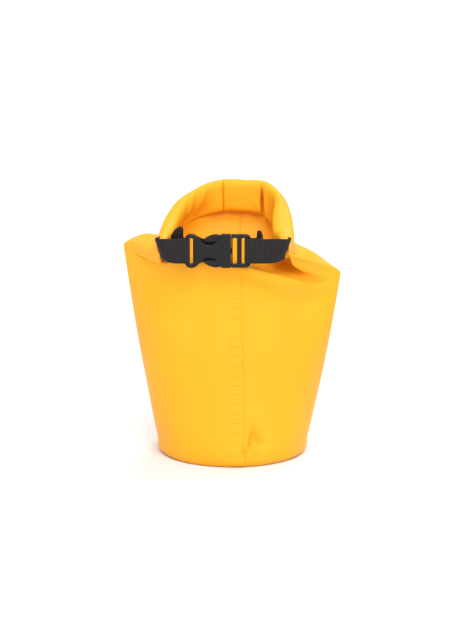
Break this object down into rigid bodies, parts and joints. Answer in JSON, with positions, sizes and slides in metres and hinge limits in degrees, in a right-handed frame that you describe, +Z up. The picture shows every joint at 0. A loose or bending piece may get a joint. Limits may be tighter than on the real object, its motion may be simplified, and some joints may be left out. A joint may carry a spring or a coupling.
{
  "type": "roll-top dry bag",
  "caption": "Small roll-top dry bag, closed: round-based coated-fabric tube, rolled mouth bent into a hoop, webbing, D-rings and side-release buckle.",
  "frame": {"origin": "centre of the round base's underside, where the bag stands", "axes": "+Z up, -Y towards the buckle, -X towards the buckle's socket half"},
  "size_m": [0.225, 0.1579, 0.2779],
  "materials": {
    "coated_fabric": "yellow coated tarpaulin, satin",
    "coated_base_fabric": "yellow coated tarpaulin, satin",
    "welded_fabric": "yellow coated tarpaulin, welded, slightly glossier",
    "rolled_fabric": "yellow coated tarpaulin, satin",
    "black_webbing": "woven, matt, ribbed across",
    "black_plastic": "moulded, satin",
    "ring_plastic": "moulded, satin",
    "stiffener_plastic": "plain strip"
  },
  "bodies": {
    "bag": {"bag_tube": "coated_fabric", "base_disc": "coated_base_fabric", "seam_lap": "welded_fabric"},
    "collar": {"mouth_roll": "rolled_fabric", "mouth_webbing": "black_webbing", "mouth_stiffener": "stiffener_plastic", "left_tab": "black_webbing", "right_tab": "black_webbing"},
    "socket": {"buckle_socket": "black_plastic"},
    "plug": {"buckle_frame": "black_plastic"},
    "prong_up": {"upper_prong": "black_plastic"},
    "prong_down": {"lower_prong": "black_plastic"},
    "d_left": {"left_ring": "ring_plastic"},
    "d_right": {"right_ring": "ring_plastic"}
  },
  "joints": [
    {"name": "handle_tilt", "type": "hinge", "parent": "bag", "child": "collar", "pos_m": [0, 0.041, 0.243], "axis": [-1, 0, 0], "range_deg": [0, 28]},
    {"name": "buckle_release", "type": "slide", "parent": "collar", "child": "plug", "axis": [1, 0, 0], "range_m": [0, 0.019], "deforming": ["right_tab"]},
    {"name": "socket_draw", "type": "slide", "parent": "collar", "child": "socket", "axis": [1, 0, 0], "range_m": [-0.008, 0], "deforming": ["left_tab"]},
    {"name": "upper_squeeze", "type": "hinge", "parent": "plug", "child": "prong_up", "pos_m": [-0.004, -0.055, 0.2315], "axis": [0, -1, 0], "range_deg": [0, 8], "stiffness_Nm_per_rad": 0.05},
    {"name": "lower_squeeze", "type": "hinge", "parent": "plug", "child": "prong_down", "pos_m": [-0.004, -0.055, 0.2075], "axis": [0, -1, 0], "range_deg": [-8, 0], "stiffness_Nm_per_rad": 0.05},
    {"name": "left_ring_swing", "type": "hinge", "parent": "socket", "child": "d_left", "pos_m": [-0.0515, -0.04825, 0.221], "axis": [0, 0, 1], "range_deg": [-105, 0]},
    {"name": "right_ring_swing", "type": "hinge", "parent": "plug", "child": "d_right", "pos_m": [0.0265, -0.04825, 0.221], "axis": [0, 0, 1], "range_deg": [-12, 78]}
  ],
  "couplings": [
    {"joint": "socket_draw", "follows": "buckle_release", "ratio": -0.42},
    {"joint": "lower_squeeze", "follows": "upper_squeeze", "ratio": -1}
  ]
}
